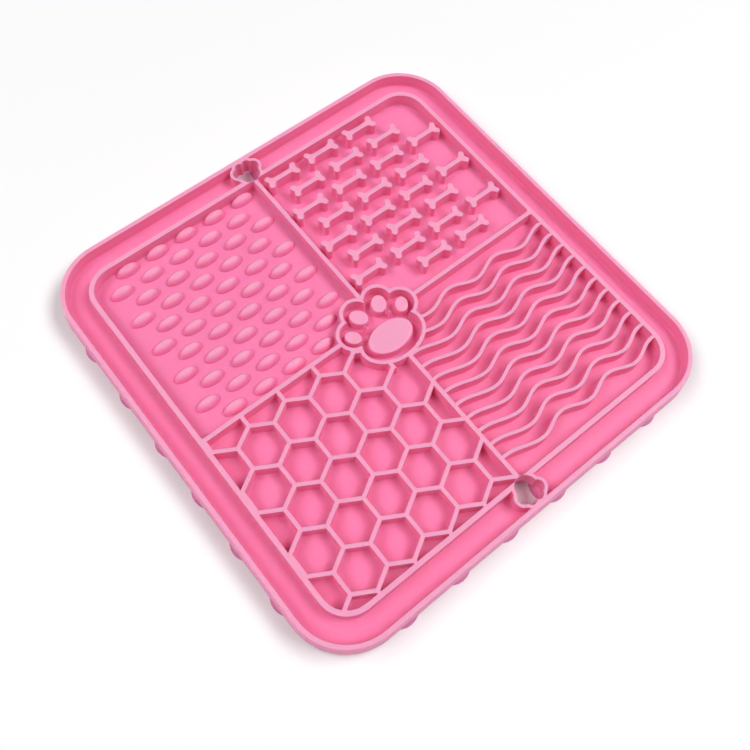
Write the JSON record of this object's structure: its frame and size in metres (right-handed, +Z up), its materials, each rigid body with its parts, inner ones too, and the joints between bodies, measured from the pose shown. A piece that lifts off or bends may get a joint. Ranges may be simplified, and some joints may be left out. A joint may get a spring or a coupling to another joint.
{
  "type": "silicone lick mat",
  "caption": "Square one-piece silicone lick mat with raised relief fields of nubs, bones, honeycomb and waves around a paw, hanging holes and suction cups underneath.",
  "frame": {"origin": "middle of the underside, on the plane of the suction cups' lips", "axes": "+Z up out of the relief side; X and Y along the dividers, +Y the way the paw's toes point"},
  "size_m": [0.2042, 0.2042, 0.0113],
  "materials": {
    "silicone": "soft satin, slightly translucent pink silicone"
  },
  "bodies": {
    "root": {"mat": "silicone"}
  },
  "joints": []
}
